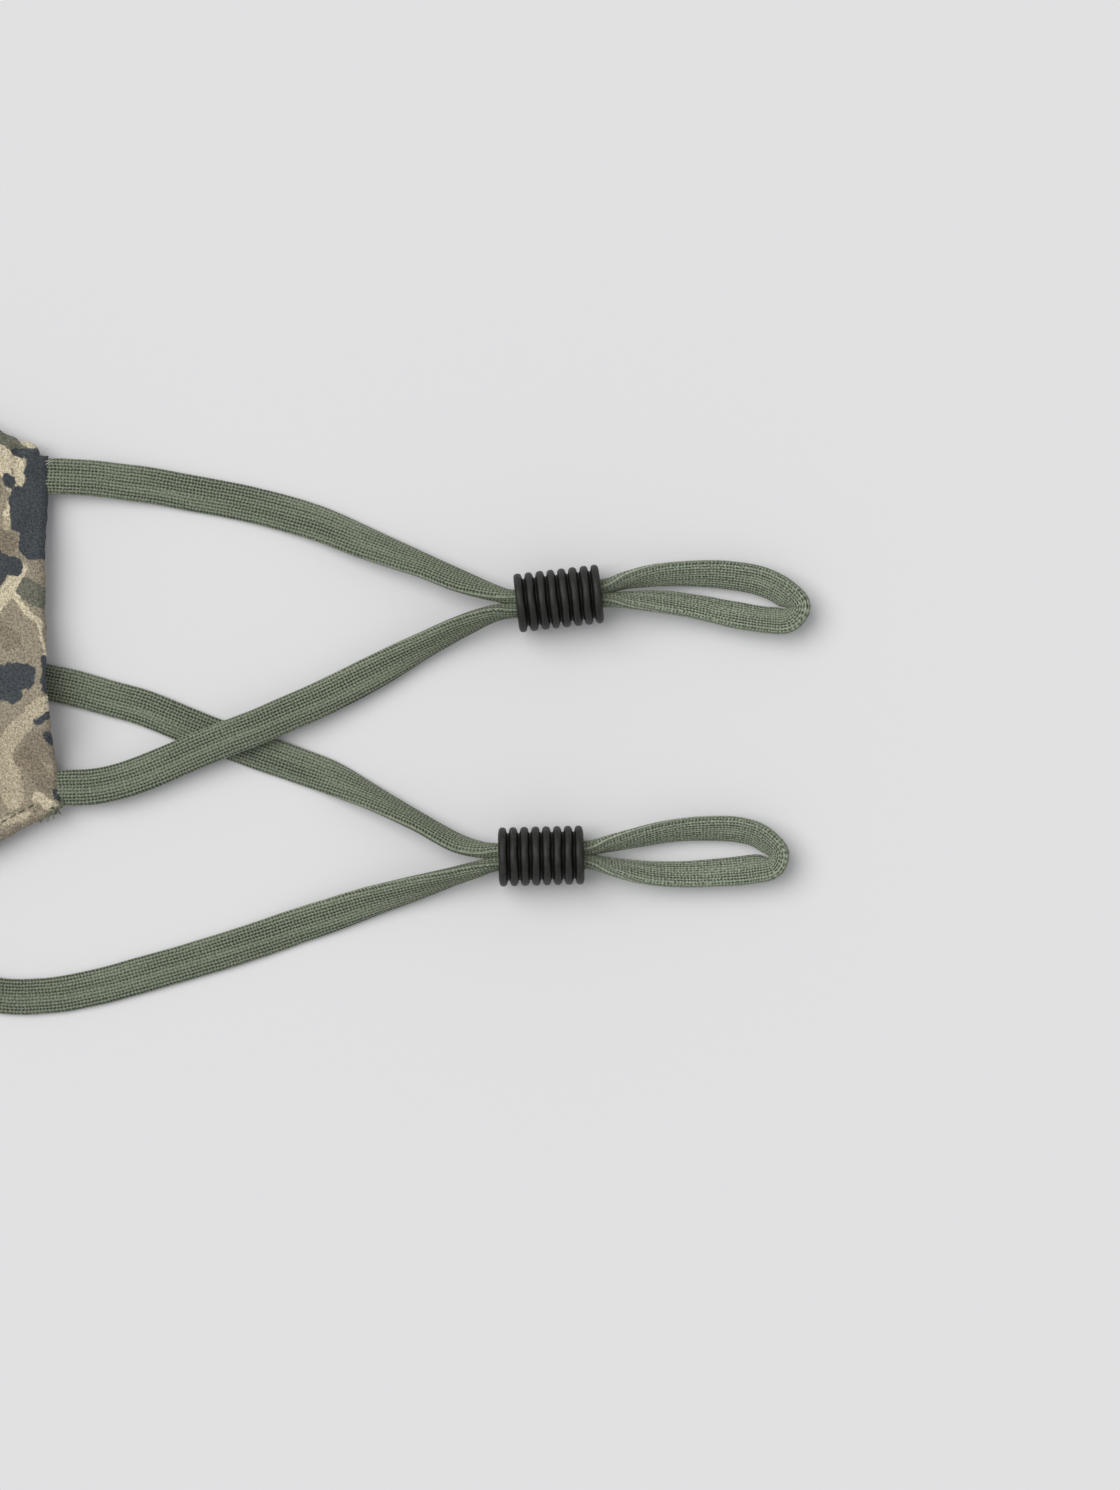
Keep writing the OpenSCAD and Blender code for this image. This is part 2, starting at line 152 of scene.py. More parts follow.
# The print by the near side edge, as strokes in the row's plane: x, y of both ends and the half width.
# The kinds of patch come in the order of print_fields.
EDGE_STROKES = (
    ((56.1, 33.6, 54.9, 20.6, 2.9), (52.8, 27.6, 53.2, 24.4, 2.5), (51.6, 36.2, 56.8, 34.2, 0.9),
     (50.4, 31.4, 50.5, 31.1, 1.2), (47.2, 18.2, 51.0, 17.0, 1.7), (47.6, 14.8, 48.8, 15.4, 1.5),
     (47.5, -1.6, 52.9, -1.6, 2.2), (47.5, -3.6, 51.4, -4.4, 1.4), (56.5, 1.4, 57.0, -3.8, 0.65),
     (55.0, -8.9, 57.6, -7.5, 0.6), (56.6, -11.2, 57.8, -12.4, 0.65), (58.4, -20.6, 59.0, -21.6, 0.8)),
    ((47.8, 37.2, 52.3, 33.8, 0.9), (52.5, 33.4, 52.1, 30.0, 0.85), (52.0, 29.8, 50.0, 25.6, 0.6),
     (49.6, 33.6, 51.4, 29.2, 1.1), (52.6, 16.6, 50.4, 13.4, 1.05), (50.4, 13.2, 48.0, 9.6, 1.1),
     (50.2, 13.4, 51.8, 11.2, 0.6), (51.8, 11.2, 55.4, 7.4, 0.55), (55.4, 7.4, 56.6, 2.2, 0.35),
     (54.8, -21.2, 58.0, -23.0, 0.8), (56.9, -5.2, 57.5, -7.0, 0.5), (52.4, 37.9, 54.4, 37.1, 0.55)),
    ((56.3, -6.2, 47.6, -14.2, 1.5), (48.6, -13.4, 51.2, -21.4, 1.9), (49.2, 20.8, 50.4, 24.6, 0.6),
     (48.4, -25.4, 53.4, -24.4, 0.6)),
    ((47.6, 38.6, 52.0, 37.2, 1.3), (54.6, 36.4, 57.2, 34.4, 0.9), (53.2, 13.2, 56.4, 11.6, 1.9)),
    ((48.0, 22.6, 50.2, 20.4, 1.6), (52.6, -14.6, 56.4, -19.0, 1.7), (48.6, 6.6, 50.8, 4.4, 1.5)),
)


# ------ camera, light and floor
def add_object(name, data):
    made = bpy.data.objects.new(name, data)
    bpy.context.scene.collection.objects.link(made)
    return made


def make_camera():
    """Straight down, with the width and place of the photograph's view."""
    view_height = 0.2483
    view_middle = (0.142, -0.01267)
    data = bpy.data.cameras.new("camera")
    data.lens = 120
    data.sensor_width = 36
    data.clip_start = 0.01
    data.clip_end = 10
    camera = add_object("camera", data)
    camera.location = (*view_middle, view_height * data.lens / data.sensor_width)
    bpy.context.scene.camera = camera


def make_light():
    """An even sky and one broad, soft light from the upper left."""
    scene = bpy.context.scene
    scene.view_settings.view_transform = "Standard"
    scene.world = bpy.data.worlds.new("studio")
    scene.world.use_nodes = True
    sky = scene.world.node_tree.nodes["Background"].inputs
    sky["Color"].default_value = (0.98, 0.985, 1.0, 1)
    sky["Strength"].default_value = 0.455
    key = bpy.data.lights.new("key", "SUN")
    key.energy = 1.83
    key.angle = math.radians(50)
    key.color = (1, 0.992, 0.98)
    way = Vector((0.60, -0.34, -1.1))
    add_object("key", key).rotation_euler = way.to_track_quat("-Z", "Y").to_euler()


def make_floor():
    """A plain pale sheet that reaches past the view from most angles."""
    reach = 4.0
    mesh = bpy.data.meshes.new("floor")
    mesh.from_pydata([(-reach, -reach, 0), (reach, -reach, 0), (reach, reach, 0), (-reach, reach, 0)],
                     [], [(0, 1, 2, 3)])
    n = Nodes("floor_paper")
    n.feed(n.shader, {"Base Color": (0.80, 0.80, 0.812), "Roughness": 0.9, "Specular IOR Level": 0.1})
    mesh.materials.append(n.material)
    add_object("floor", mesh)


# ------ small helpers
def smooth(t):
    t = np.clip(t, 0, 1)
    return t * t * (3 - 2 * t)


def wander(x, y, size, seed, octaves=2):
    """Smooth noise from about -1 to 1 at each point, with features of the given size in mm."""
    shift = Vector((seed * 17.3, seed * 5.1, seed * 11.7))
    out = np.empty(len(x))
    for i, (a, b) in enumerate(zip(x, y)):
        p = Vector((a / size, b / size, 0)) + shift
        value, gain = 0.0, 1.0
        for _ in range(octaves):
            value += gain * noise.noise(p)
            p = p * 2.03
            gain *= 0.5
        out[i] = value
    return out * 1.4


def turned(points, degrees):
    c, s = math.cos(math.radians(degrees)), math.sin(math.radians(degrees))
    points = np.asarray(points, float)
    return np.stack([points[..., 0] * c - points[..., 1] * s, points[..., 0] * s + points[..., 1] * c], -1)


def curve(points, steps=96):
    """A Bezier curve with the given control points."""
    t = np.linspace(0, 1, steps + 1)[:, None]
    degree = len(points) - 1
    return sum(math.comb(degree, i) * (1 - t) ** (degree - i) * t ** i * np.array(p, float)
               for i, p in enumerate(points))


def resample(line, shares):
    """Points at the given shares of a line's length."""
    line = np.asarray(line)
    run = np.concatenate([[0], np.cumsum(np.linalg.norm(np.diff(line, axis=0), axis=1))])
    at = np.asarray(shares) * run[-1]
    return np.stack([np.interp(at, run, line[:, 0]), np.interp(at, run, line[:, 1])], -1)


def line_length(line):
    return float(np.linalg.norm(np.diff(line, axis=0), axis=1).sum())


def offset_line(line, distance_in):
    """A line moved to its left."""
    ahead = np.gradient(line, axis=0)
    ahead /= np.linalg.norm(ahead, axis=1)[:, None]
    return line + distance_in * np.column_stack([-ahead[:, 1], ahead[:, 0]])


def distance(points, line):
    """Shortest way from each point to a polyline."""
    best = np.full(len(points), 1e9)
    for a, b in zip(line[:-1], line[1:]):
        run = b - a
        t = np.clip(((points - a) @ run) / max(run @ run, 1e-9), 0, 1)
        best = np.minimum(best, np.linalg.norm(points - a - t[:, None] * run, axis=1))
    return best


def mesh_object(name, points_mm, faces, material):
    mesh = bpy.data.meshes.new(name)
    mesh.from_pydata([tuple(p) for p in np.asarray(points_mm) * MM], [], faces)
    mesh.polygons.foreach_set("use_smooth", [True] * len(mesh.polygons))
    mesh.materials.append(material)
    mesh.update()
    return add_object(name, mesh)


def set_uv(piece, uv):
    """uv gives one pair for each vertex."""
    mesh = piece.data
    layer = mesh.uv_layers.new(name="cloth")
    index = np.empty(len(mesh.loops), np.int32)
    mesh.loops.foreach_get("vertex_index", index)
    layer.data.foreach_set("uv", np.asarray(uv, np.float32)[index].ravel())


def set_field(piece, name, *columns):
    """Three numbers for each vertex, which a material reads by name."""
    attribute = piece.data.attributes.new(name, "FLOAT_VECTOR", "POINT")
    attribute.data.foreach_set("vector", np.column_stack(columns).astype(np.float32).ravel())


def set_blend(piece, weights):
    """Bakes a piece's placement into its mesh; the weights are not used."""
    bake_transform(piece)


def row_faces(rows, ring):
    """Quads between rows of ring points each."""
    i, j = np.meshgrid(np.arange(rows - 1), np.arange(ring), indexing="ij")
    k = (j + 1) % ring
    quads = np.stack([i * ring + j, i * ring + k, (i + 1) * ring + k, (i + 1) * ring + j], -1)
    return [tuple(q) for q in quads.reshape(-1, 4).tolist()]


def caps(rows, ring):
    """The two end faces of a tube made of row_faces."""
    return [tuple(range(ring))[::-1], tuple(range((rows - 1) * ring, rows * ring))]


# ------ materials
class Nodes:
    """Short ways to add nodes to one material."""

    def __init__(self, name):
        self.material = bpy.data.materials.new(name)
        self.material.use_nodes = True
        self.tree = self.material.node_tree
        self.shader = self.tree.nodes["Principled BSDF"]

    def feed(self, node, values):
        """Gives a node's inputs numbers, colours, vectors or other nodes' outputs."""
        for key, value in values.items():
            socket = node.inputs[key]
            if isinstance(value, bpy.types.NodeSocket):
                self.tree.links.new(value, socket)
            elif isinstance(value, tuple):
                socket.default_value = (*value, 1)[:len(socket.default_value)]
            else:
                socket.default_value = value
        return node.outputs

    def add(self, kind, values, **settings):
        node = self.tree.nodes.new(kind)
        for key, value in settings.items():
            setattr(node, key, value)
        return self.feed(node, values)

    def math(self, operation, a, b=0.5):
        return self.add("ShaderNodeMath", {0: a, 1: b}, operation=operation)[0]

    def plus(self, a, b):
        return self.math("ADD", a, b)

    def times(self, a, b):
        return self.math("MULTIPLY", a, b)

    def mix(self, share, a, b, blend="MIX"):
        return self.add("ShaderNodeMix", {0: share, 6: a, 7: b}, data_type="RGBA", blend_type=blend)[2]

    def tint(self, a, b):
        return self.mix(1.0, a, b, "MULTIPLY")

    def step(self, value, low, high):
        values = {"Value": value, "From Min": low, "From Max": high}
        return self.add("ShaderNodeMapRange", values, interpolation_type="SMOOTHSTEP")["Result"]

    def split(self, vector):
        return tuple(self.add("ShaderNodeSeparateXYZ", {0: vector}))

    def field(self, name):
        """The three numbers that set_field gave each vertex."""
        return self.split(self.add("ShaderNodeAttribute", {}, attribute_name=name)["Vector"])

    def plain_uv(self):
        return self.add("ShaderNodeUVMap", {}, uv_map="cloth")["UV"]

    def uv(self, scale=(1, 1), angle=0.0):
        values = {"Vector": self.plain_uv(), "Rotation": (0, 0, math.radians(angle)), "Scale": (*scale, 1)}
        return self.add("ShaderNodeMapping", values)["Vector"]

    def place(self):
        return self.add("ShaderNodeTexCoord", {})["Object"]

    def noise(self, vector, scale, detail=2.0, rough=0.5):
        values = {"Vector": vector, "Scale": scale, "Detail": detail, "Roughness": rough}
        return self.add("ShaderNodeTexNoise", values)["Fac"]

    def finish(self, colour, height, bump, roughness, sheen=0.0, sheen_roughness=0.5, specular=0.3):
        """Feeds the shader its colour, bump (strength and depth in mm) and plain numbers."""
        values = {"Height": height, "Strength": bump[0], "Distance": bump[1] * MM}
        normal = self.add("ShaderNodeBump", values)["Normal"]
        self.feed(self.shader, {"Base Color": colour, "Normal": normal, "Roughness": roughness,
                                "Sheen Weight": sheen, "Sheen Roughness": sheen_roughness,
                                "Specular IOR Level": specular})
        return self.material


def camo_material():
    """Printed brushed twill. The print's patches come from two vertex fields, in mm inside each patch."""
    n = Nodes("camo_twill")
    navy, cream, beige = n.field("print_a")
    olive, brown, _ = n.field("print_b")
    plain = n.uv()
    ragged = n.times(n.math("SUBTRACT", n.noise(plain, 0.9), 0.5), 1.3)
    colour = TAUPE
    for field, paint in ((beige, BEIGE), (brown, BROWN), (olive, OLIVE), (cream, CREAM), (navy, NAVY)):
        colour = n.mix(n.step(n.plus(field, ragged), -0.16, 0.16), colour, paint)
    # slow shifts of tone, then the yarns' speckle with single bright and dark fibres
    fade = n.step(n.noise(plain, 0.16), 0.3, 0.7)
    colour = n.tint(colour, n.mix(fade, (0.9, 0.9, 0.91), (1.06, 1.06, 1.04)))
    yarn = n.noise(n.uv((1, 2.2), 24), 1.7, 3.0, 0.8)
    cross = n.noise(n.uv((2.4, 1), 30), 1.6, 3.0, 0.8)
    fine = n.noise(plain, 3.2, 2.0, 0.6)
    weave = n.plus(n.times(yarn, 0.8), n.plus(n.times(cross, 0.8), n.times(fine, 0.4)))
    dark = n.tint(colour, (0.55, 0.54, 0.54))
    bright = n.tint(colour, (1.52, 1.52, 1.50))
    lit = n.mix(n.step(weave, 0.80, 1.20), dark, bright)
    hairs = n.step(n.noise(n.uv((3.4, 0.9), -35), 1.7, 2.0, 0.7), 0.64, 0.76)
    colour = n.mix(n.times(hairs, 0.2), lit, (0.42, 0.42, 0.40))
    return n.finish(colour, weave, (0.6, 0.2), 0.9, sheen=0.1, specular=0.2)


def plain_cloth(name, colour, scale):
    """Crossed fine threads of one colour."""
    speck = 0.18
    n = Nodes(name)
    warp = n.noise(n.uv((1, 7)), scale, 2.0, 0.6)
    weft = n.noise(n.uv((7, 1)), scale, 2.0, 0.6)
    weave = n.plus(warp, weft)
    low = tuple(c * (1 - speck) for c in colour)
    high = tuple(min(1, c * (1 + speck)) for c in colour)
    colour = n.mix(n.step(weave, 0.7, 1.3), low, high)
    return n.finish(colour, weave, (0.5, 0.12), 0.95, sheen=0.2, sheen_roughness=0.6, specular=0.15)


def elastic_material():
    """Knitted elastic. u runs along the band in mm and v counts its ribs across."""
    stitch_long = 0.57
    odd_shift = 0.16
    n = Nodes("knit_elastic")
    along, across, _ = n.split(n.plain_uv())
    odd = n.times(n.math("MODULO", n.math("FLOOR", across), 2.0), odd_shift)
    wobble = n.times(n.noise(n.uv((0.4, 0.5)), 0.9), 1.3)
    phase = n.plus(n.plus(n.times(along, 1 / stitch_long), odd), wobble)
    wave = n.math("SINE", n.times(phase, 2 * math.pi))
    knot = n.plus(n.times(wave, 0.5), 0.5)
    rib = n.math("ABSOLUTE", n.math("SINE", n.times(across, math.pi)))
    # the gaps between ribs are painted darkest, as painted shade, where a stitch dips, and some stretches are
    # drawn more open
    tight = n.step(n.noise(n.uv((0.045, 0.35)), 1.0, 2.0, 0.6), 0.32, 0.68)
    depth = n.plus(n.times(tight, 0.55), 0.45)
    gap_depth_and_shade = n.times(n.math("POWER", n.math("SUBTRACT", 1.0, rib), 0.6), depth)
    gap_depth_and_shade = n.times(gap_depth_and_shade, n.plus(n.times(knot, 1.1), 0.25))
    grit = n.math("SUBTRACT", n.noise(n.uv((1.0, 1.0)), 1.9, 3.0, 0.8), 0.5)
    # past the stopper the grit is coarser, and the loop is painted brighter there as painted light on its
    # leaning faces
    loop_grit_and_painted_light = n.field("loop_grit_and_painted_light")[0]
    rough = n.plus(n.times(loop_grit_and_painted_light, 0.8), 1.7)
    value = n.plus(n.math("SUBTRACT", 0.72, gap_depth_and_shade), n.times(grit, rough))
    # the near-black end of this colour is painted shade in the gaps between ribs
    colour = n.mix(n.step(value, -0.05, 1.05), (0.034, 0.048, 0.031), (0.372, 0.412, 0.302))
    slow = n.step(n.noise(n.uv((0.03, 0.06)), 1.0, 1.0), 0.3, 0.7)
    colour = n.mix(n.times(slow, 0.16), colour, (0.09, 0.11, 0.08))
    # the loop past the stopper is painted brighter, as painted light
    colour = n.mix(loop_grit_and_painted_light, colour, n.tint(colour, (1.36, 1.36, 1.40)))
    return n.finish(colour, value, (0.75, 0.2), 0.85, sheen=0.08, specular=0.15)


def rubber_material():
    """Moulded black silicone. The u of its UV is 1 at a rib's rim and 0 in a groove."""
    n = Nodes("stopper_silicone")
    # the grooves are painted darker as painted shade and the rims lighter as a painted highlight
    rim = n.step(n.split(n.plain_uv())[0], 0.55, 1.0)
    place = n.place()
    # lighter scuffs on the rims, partly wear and partly a painted highlight
    scuff_and_highlight = n.times(rim, n.step(n.noise(place, 900.0, 3.0, 0.6), 0.45, 0.7))
    colour = n.mix(rim, (0.005, 0.005, 0.004), (0.020, 0.020, 0.0175))
    colour = n.mix(n.times(scuff_and_highlight, 0.4), colour, (0.045, 0.045, 0.041))
    return n.finish(colour, n.noise(place, 2600.0), (0.25, 0.04), 0.5)


def thread_material(name, colour):
    n = Nodes(name)
    twist = n.noise(n.place(), 3000.0)
    dim = tuple(c * 0.6 for c in colour)
    shade = n.mix(n.step(twist, 0.35, 0.65), dim, colour)
    return n.finish(shade, twist, (0.4, 0.05), 0.8, sheen=0.2, specular=0.2)


def wire_material():
    n = Nodes("nose_wire_coat")
    grain = n.noise(n.place(), 1200.0)
    n.shader.inputs["Metallic"].default_value = 0.9
    return n.finish(n.mix(grain, (0.5, 0.5, 0.5), (0.68, 0.68, 0.67)), grain, (0.2, 0.03), 0.45)


# ------ the elastic ear loops
def between(t, p, q, a, b):
    """On the way from p at time a to q at time b."""
    return (b - t) / (b - a) * p + (t - a) / (b - a) * q


def through(route, spacing):
    """A smooth curve through the route's points, as rows of x, y, z, roll, squeeze at about equal spacing."""
    keys = np.array([(*key, 0, 0)[:5] for key in route], float)
    ends = np.vstack([2 * keys[0] - keys[1], keys, 2 * keys[-1] - keys[-2]])
    rows = []
    for i in range(1, len(ends) - 2):
        p0, p1, p2, p3 = ends[i - 1:i + 3]
        gap = [max(np.linalg.norm(b[:3] - a[:3]) ** 0.5, 1e-6) for a, b in ((p0, p1), (p1, p2), (p2, p3))]
        t1, t2, t3 = gap[0], gap[0] + gap[1], sum(gap)
        steps = max(2, round(np.linalg.norm(p2[:3] - p1[:3]) / spacing))
        for t in t1 + (t2 - t1) * np.arange(steps) / steps:
            a1, a2, a3 = between(t, p0, p1, 0, t1), between(t, p1, p2, t1, t2), between(t, p2, p3, t2, t3)
            b1, b2 = between(t, a1, a2, 0, t2), between(t, a2, a3, t1, t3)
            rows.append(between(t, b1, b2, t1, t2))
    rows.append(keys[-1])
    rows = np.array(rows)
    rows[:, 4] = np.clip(rows[:, 4], 0, 1)
    return rows


def band_profile(samples):
    """Once round the band's section, upper face first: the place across from -1 to 1, and the height there
    for the flat band and for the band squeezed to an oval, as shares of half the thickness."""
    across = -np.cos(np.linspace(0, math.pi, samples))
    across = 0.45 * across + 0.55 * np.linspace(-1, 1, samples)
    flat = (1 - np.abs(across) ** 3.4) ** 0.5
    oval = (1 - across ** 2) ** 0.5
    top = np.stack([across, flat, oval], 1)
    bottom = np.stack([across[::-1], -flat[::-1], -oval[::-1]], 1)[1:-1]
    return np.vstack([top, bottom])


def stopper_share(along):
    """A weight for each row: 0 at the hem, 1 in the bore, 0 again at the loop's tip."""
    hold = STOPPER_LEN / 2 + 1.2
    root = along[[0, -1]].max()
    tip = along.max()
    leg = 1 - (-hold - along) / (-hold - root)
    loop = 1 - (along - hold) / (tip - hold)
    return np.clip(np.where(along < 0, leg, loop), 0, 1)


def gathered(points, centre, side, tangent, length):
    """Gathers the band on the inside of a tight turn, so that its inner edge never folds over itself."""
    window, inner_share = 9, 0.75
    heading = np.unwrap(np.arctan2(tangent[:, 1], tangent[:, 0]))
    turning = np.convolve(np.gradient(heading, length), np.ones(window) / window, "same")
    room = (inner_share / np.maximum(-turning, 0.01))[:, None]
    offset = ((points - centre[:, None]) * side[:, None]).sum(-1)
    held = np.where(offset < 0, -room * np.tanh(-offset / room), offset)
    return points + side[:, None] * (held - offset)[..., None]


def make_ear_loop(name, route, material, seed):
    """The ribbed band along its route."""
    at, turn = STOPPER_AT[name], math.radians(STOPPER_TURN[name])
    lowest_middle, lowest_point = 0.7, 0.02
    rows = through(route, 0.42)
    squeeze = rows[:, 4]
    centre = rows[:, :3].copy()
    gaps = np.linalg.norm(np.diff(centre, axis=0), axis=1)
    length = np.concatenate([[0], np.cumsum(gaps)])
    tangent = np.gradient(centre, axis=0)
    tangent /= np.linalg.norm(tangent, axis=1)[:, None]
    side = np.stack([-tangent[:, 1], tangent[:, 0], 0 * tangent[:, 0]], 1)
    side /= np.linalg.norm(side, axis=1)[:, None]
    # a band is never drawn quite straight: its middle line, its roll and its width wander a little
    drift = wander(length, length * 0, 14, seed)
    sway = wander(length, length * 0 + 50, 9, seed)
    swell = wander(length, length * 0 + 90, 6, seed)
    free = smooth(np.minimum(length, length[-1] - length) / 12 - 0.6) * (1 - squeeze)
    centre += side * (drift * free * 0.16)[:, None]
    # the leaning band is drawn in at the loop's tip, where its high edge keeps the outline
    bore_way = np.array([math.cos(turn), math.sin(turn)])
    along = (rows[:, :2] - at[:2]) @ bore_way
    drawn_in = TIP_DRAWN_IN[name] * np.exp(-((along.max() - along) / 6) ** 2)
    centre[:, :2] -= bore_way * drawn_in[:, None]
    hump_at, hump_height, hump_reach = OVER_HUMP[name]
    away = np.linalg.norm(centre[:, :2] - hump_at, axis=1)
    hump = hump_height * np.exp(-(away / hump_reach) ** 2)
    centre[:, 2] = np.maximum(centre[:, 2] + hump, lowest_middle)
    up = np.cross(tangent, side)
    roll = np.radians(rows[:, 3] + sway * free * 3.0)[:, None]
    width_way = np.cos(roll) * side + np.sin(roll) * up
    face_way = np.cross(tangent, width_way)
    width = (STRAP_W + (SQUEEZED_W - STRAP_W) * squeeze) * (1 + 0.012 * swell)
    thick = STRAP_T + (SQUEEZED_T - STRAP_T) * squeeze
    across, flat, oval = band_profile(4 * STRAP_RIBS + 1).T
    shape = flat[None] * (1 - squeeze[:, None]) + oval[None] * squeeze[:, None]
    # the outermost ribs turn round the band's edges, and the band cups slightly about its long axis
    rib_place = (across + 1) / 2 * (STRAP_RIBS - 1) + 0.5
    rib = np.abs(np.sin(rib_place * math.pi)) ** 0.7
    relief = shape * (1 - 0.16 * (1 - rib))[None]
    cup = 0.10 * (1 - across ** 2)
    points = (centre[:, None] + width_way[:, None] * (across[None] * width[:, None] / 2)[..., None]
              + face_way[:, None] * (relief * thick[:, None] / 2 + cup[None])[..., None])
    points = gathered(points, centre, side, tangent, length)
    points[..., 2] = np.maximum(points[..., 2], lowest_point)
    rings, ring = points.shape[:2]
    faces = [f[::-1] for f in row_faces(rings, ring)] + caps(rings, ring)
    loop = mesh_object(f"elastic_loop_{name}", points.reshape(-1, 3), faces, material)
    v = np.tile(rib_place + np.where(flat < 0, 2 * STRAP_RIBS, 0), rings)
    set_uv(loop, np.stack([np.repeat(length, ring), v], 1))
    # share of the band past the stopper, where the material coarsens the grit and paints the loop brighter as
    # painted light
    loop_grit_and_painted_light = np.repeat(smooth((along - STOPPER_LEN / 2) / 6), ring)
    set_field(loop, "loop_grit_and_painted_light", loop_grit_and_painted_light, loop_grit_and_painted_light, loop_grit_and_painted_light)
    set_blend(loop, np.repeat(stopper_share(along), ring))
    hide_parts(f"ear_loop_{name}")


# ------ the ribbed stoppers
def stopper_outline():
    """Once round the drum's wall, as rows of place along the bore, radius and share of a rib's height."""
    rib_steps, groove_drop = 12, 0.12
    mouth_radii, mouth_in, bore_radius = (3.6, 3.2, BORE_D / 2 + 0.25), 0.02, BORE_D / 2
    low, rise = GROOVE_D / 2, STOPPER_D / 2 - GROOVE_D / 2
    start, end = -STOPPER_LEN / 2, STOPPER_LEN / 2
    pitch = (STOPPER_LEN - RIB_W) / (RIB_COUNT - 1)
    outline = []
    for i in range(RIB_COUNT):
        middle = start + RIB_W / 2 + i * pitch
        for k in range(rib_steps + 1):
            t = -1 + 2 * k / rib_steps
            bulge = (1 - abs(t) ** 2.6) ** 0.5
            outline.append((middle + t * RIB_W / 2, low + rise * bulge, bulge))
        if i < RIB_COUNT - 1:
            outline.append((middle + pitch / 2, low - groove_drop, 0.0))
    outline += [(end - mouth_in, r, 0.4) for r in mouth_radii]
    outline += [(x, bore_radius, 0.0) for x in (end - 0.25, end - 1.2, 0, start + 1.2, start + 0.25)]
    outline += [(start + mouth_in, r, 0.4) for r in mouth_radii[::-1]]
    return np.array(outline)


def make_stopper(name, material, seed):
    """A moulded drum with round ribs, turned about the bore."""
    around = 112
    outline = stopper_outline()
    rings = len(outline)
    axis = np.repeat(outline[:, 0], around)
    radius = np.repeat(outline[:, 1], around)
    theta = np.tile(np.linspace(0, 2 * math.pi, around, endpoint=False), rings)
    # ribs of a soft moulding are never perfectly flat or round
    flex = wander(axis, np.sin(theta) * 4 + np.cos(theta) * 3, 3.0, seed)
    outer = smooth((radius - BORE_D / 2 - 0.4) / 1.2)
    axis = np.clip(axis + outer * flex * 0.10, -STOPPER_LEN / 2, STOPPER_LEN / 2)
    radius = np.minimum(radius * (1 + outer * flex * 0.004), STOPPER_D / 2)
    level = turned(np.column_stack([axis, radius * np.sin(theta)]), STOPPER_TURN[name])
    points = np.column_stack([level, radius * np.cos(theta)]) + STOPPER_AT[name]
    # the last ring joins the first, so the drum is closed through its bore
    faces = [tuple(i % (rings * around) for i in f[::-1]) for f in row_faces(rings + 1, around)]
    piece = mesh_object(f"ribbed_stopper_{name}", points, faces, material)
    set_uv(piece, np.stack([np.repeat(outline[:, 2], around), theta], 1))
    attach(piece, f"{name}_stopper")
    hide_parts(f"cord_stopper_{name}")
    return piece


# ------ the shape of one half, as in the frame
def rounded(way_in, radius):
    """Height share of a quarter round: 0 at an edge, 1 from its radius inward."""
    return np.sqrt(np.clip(1 - (1 - np.clip(way_in / radius, 0, 1)) ** 2, 0, 1))


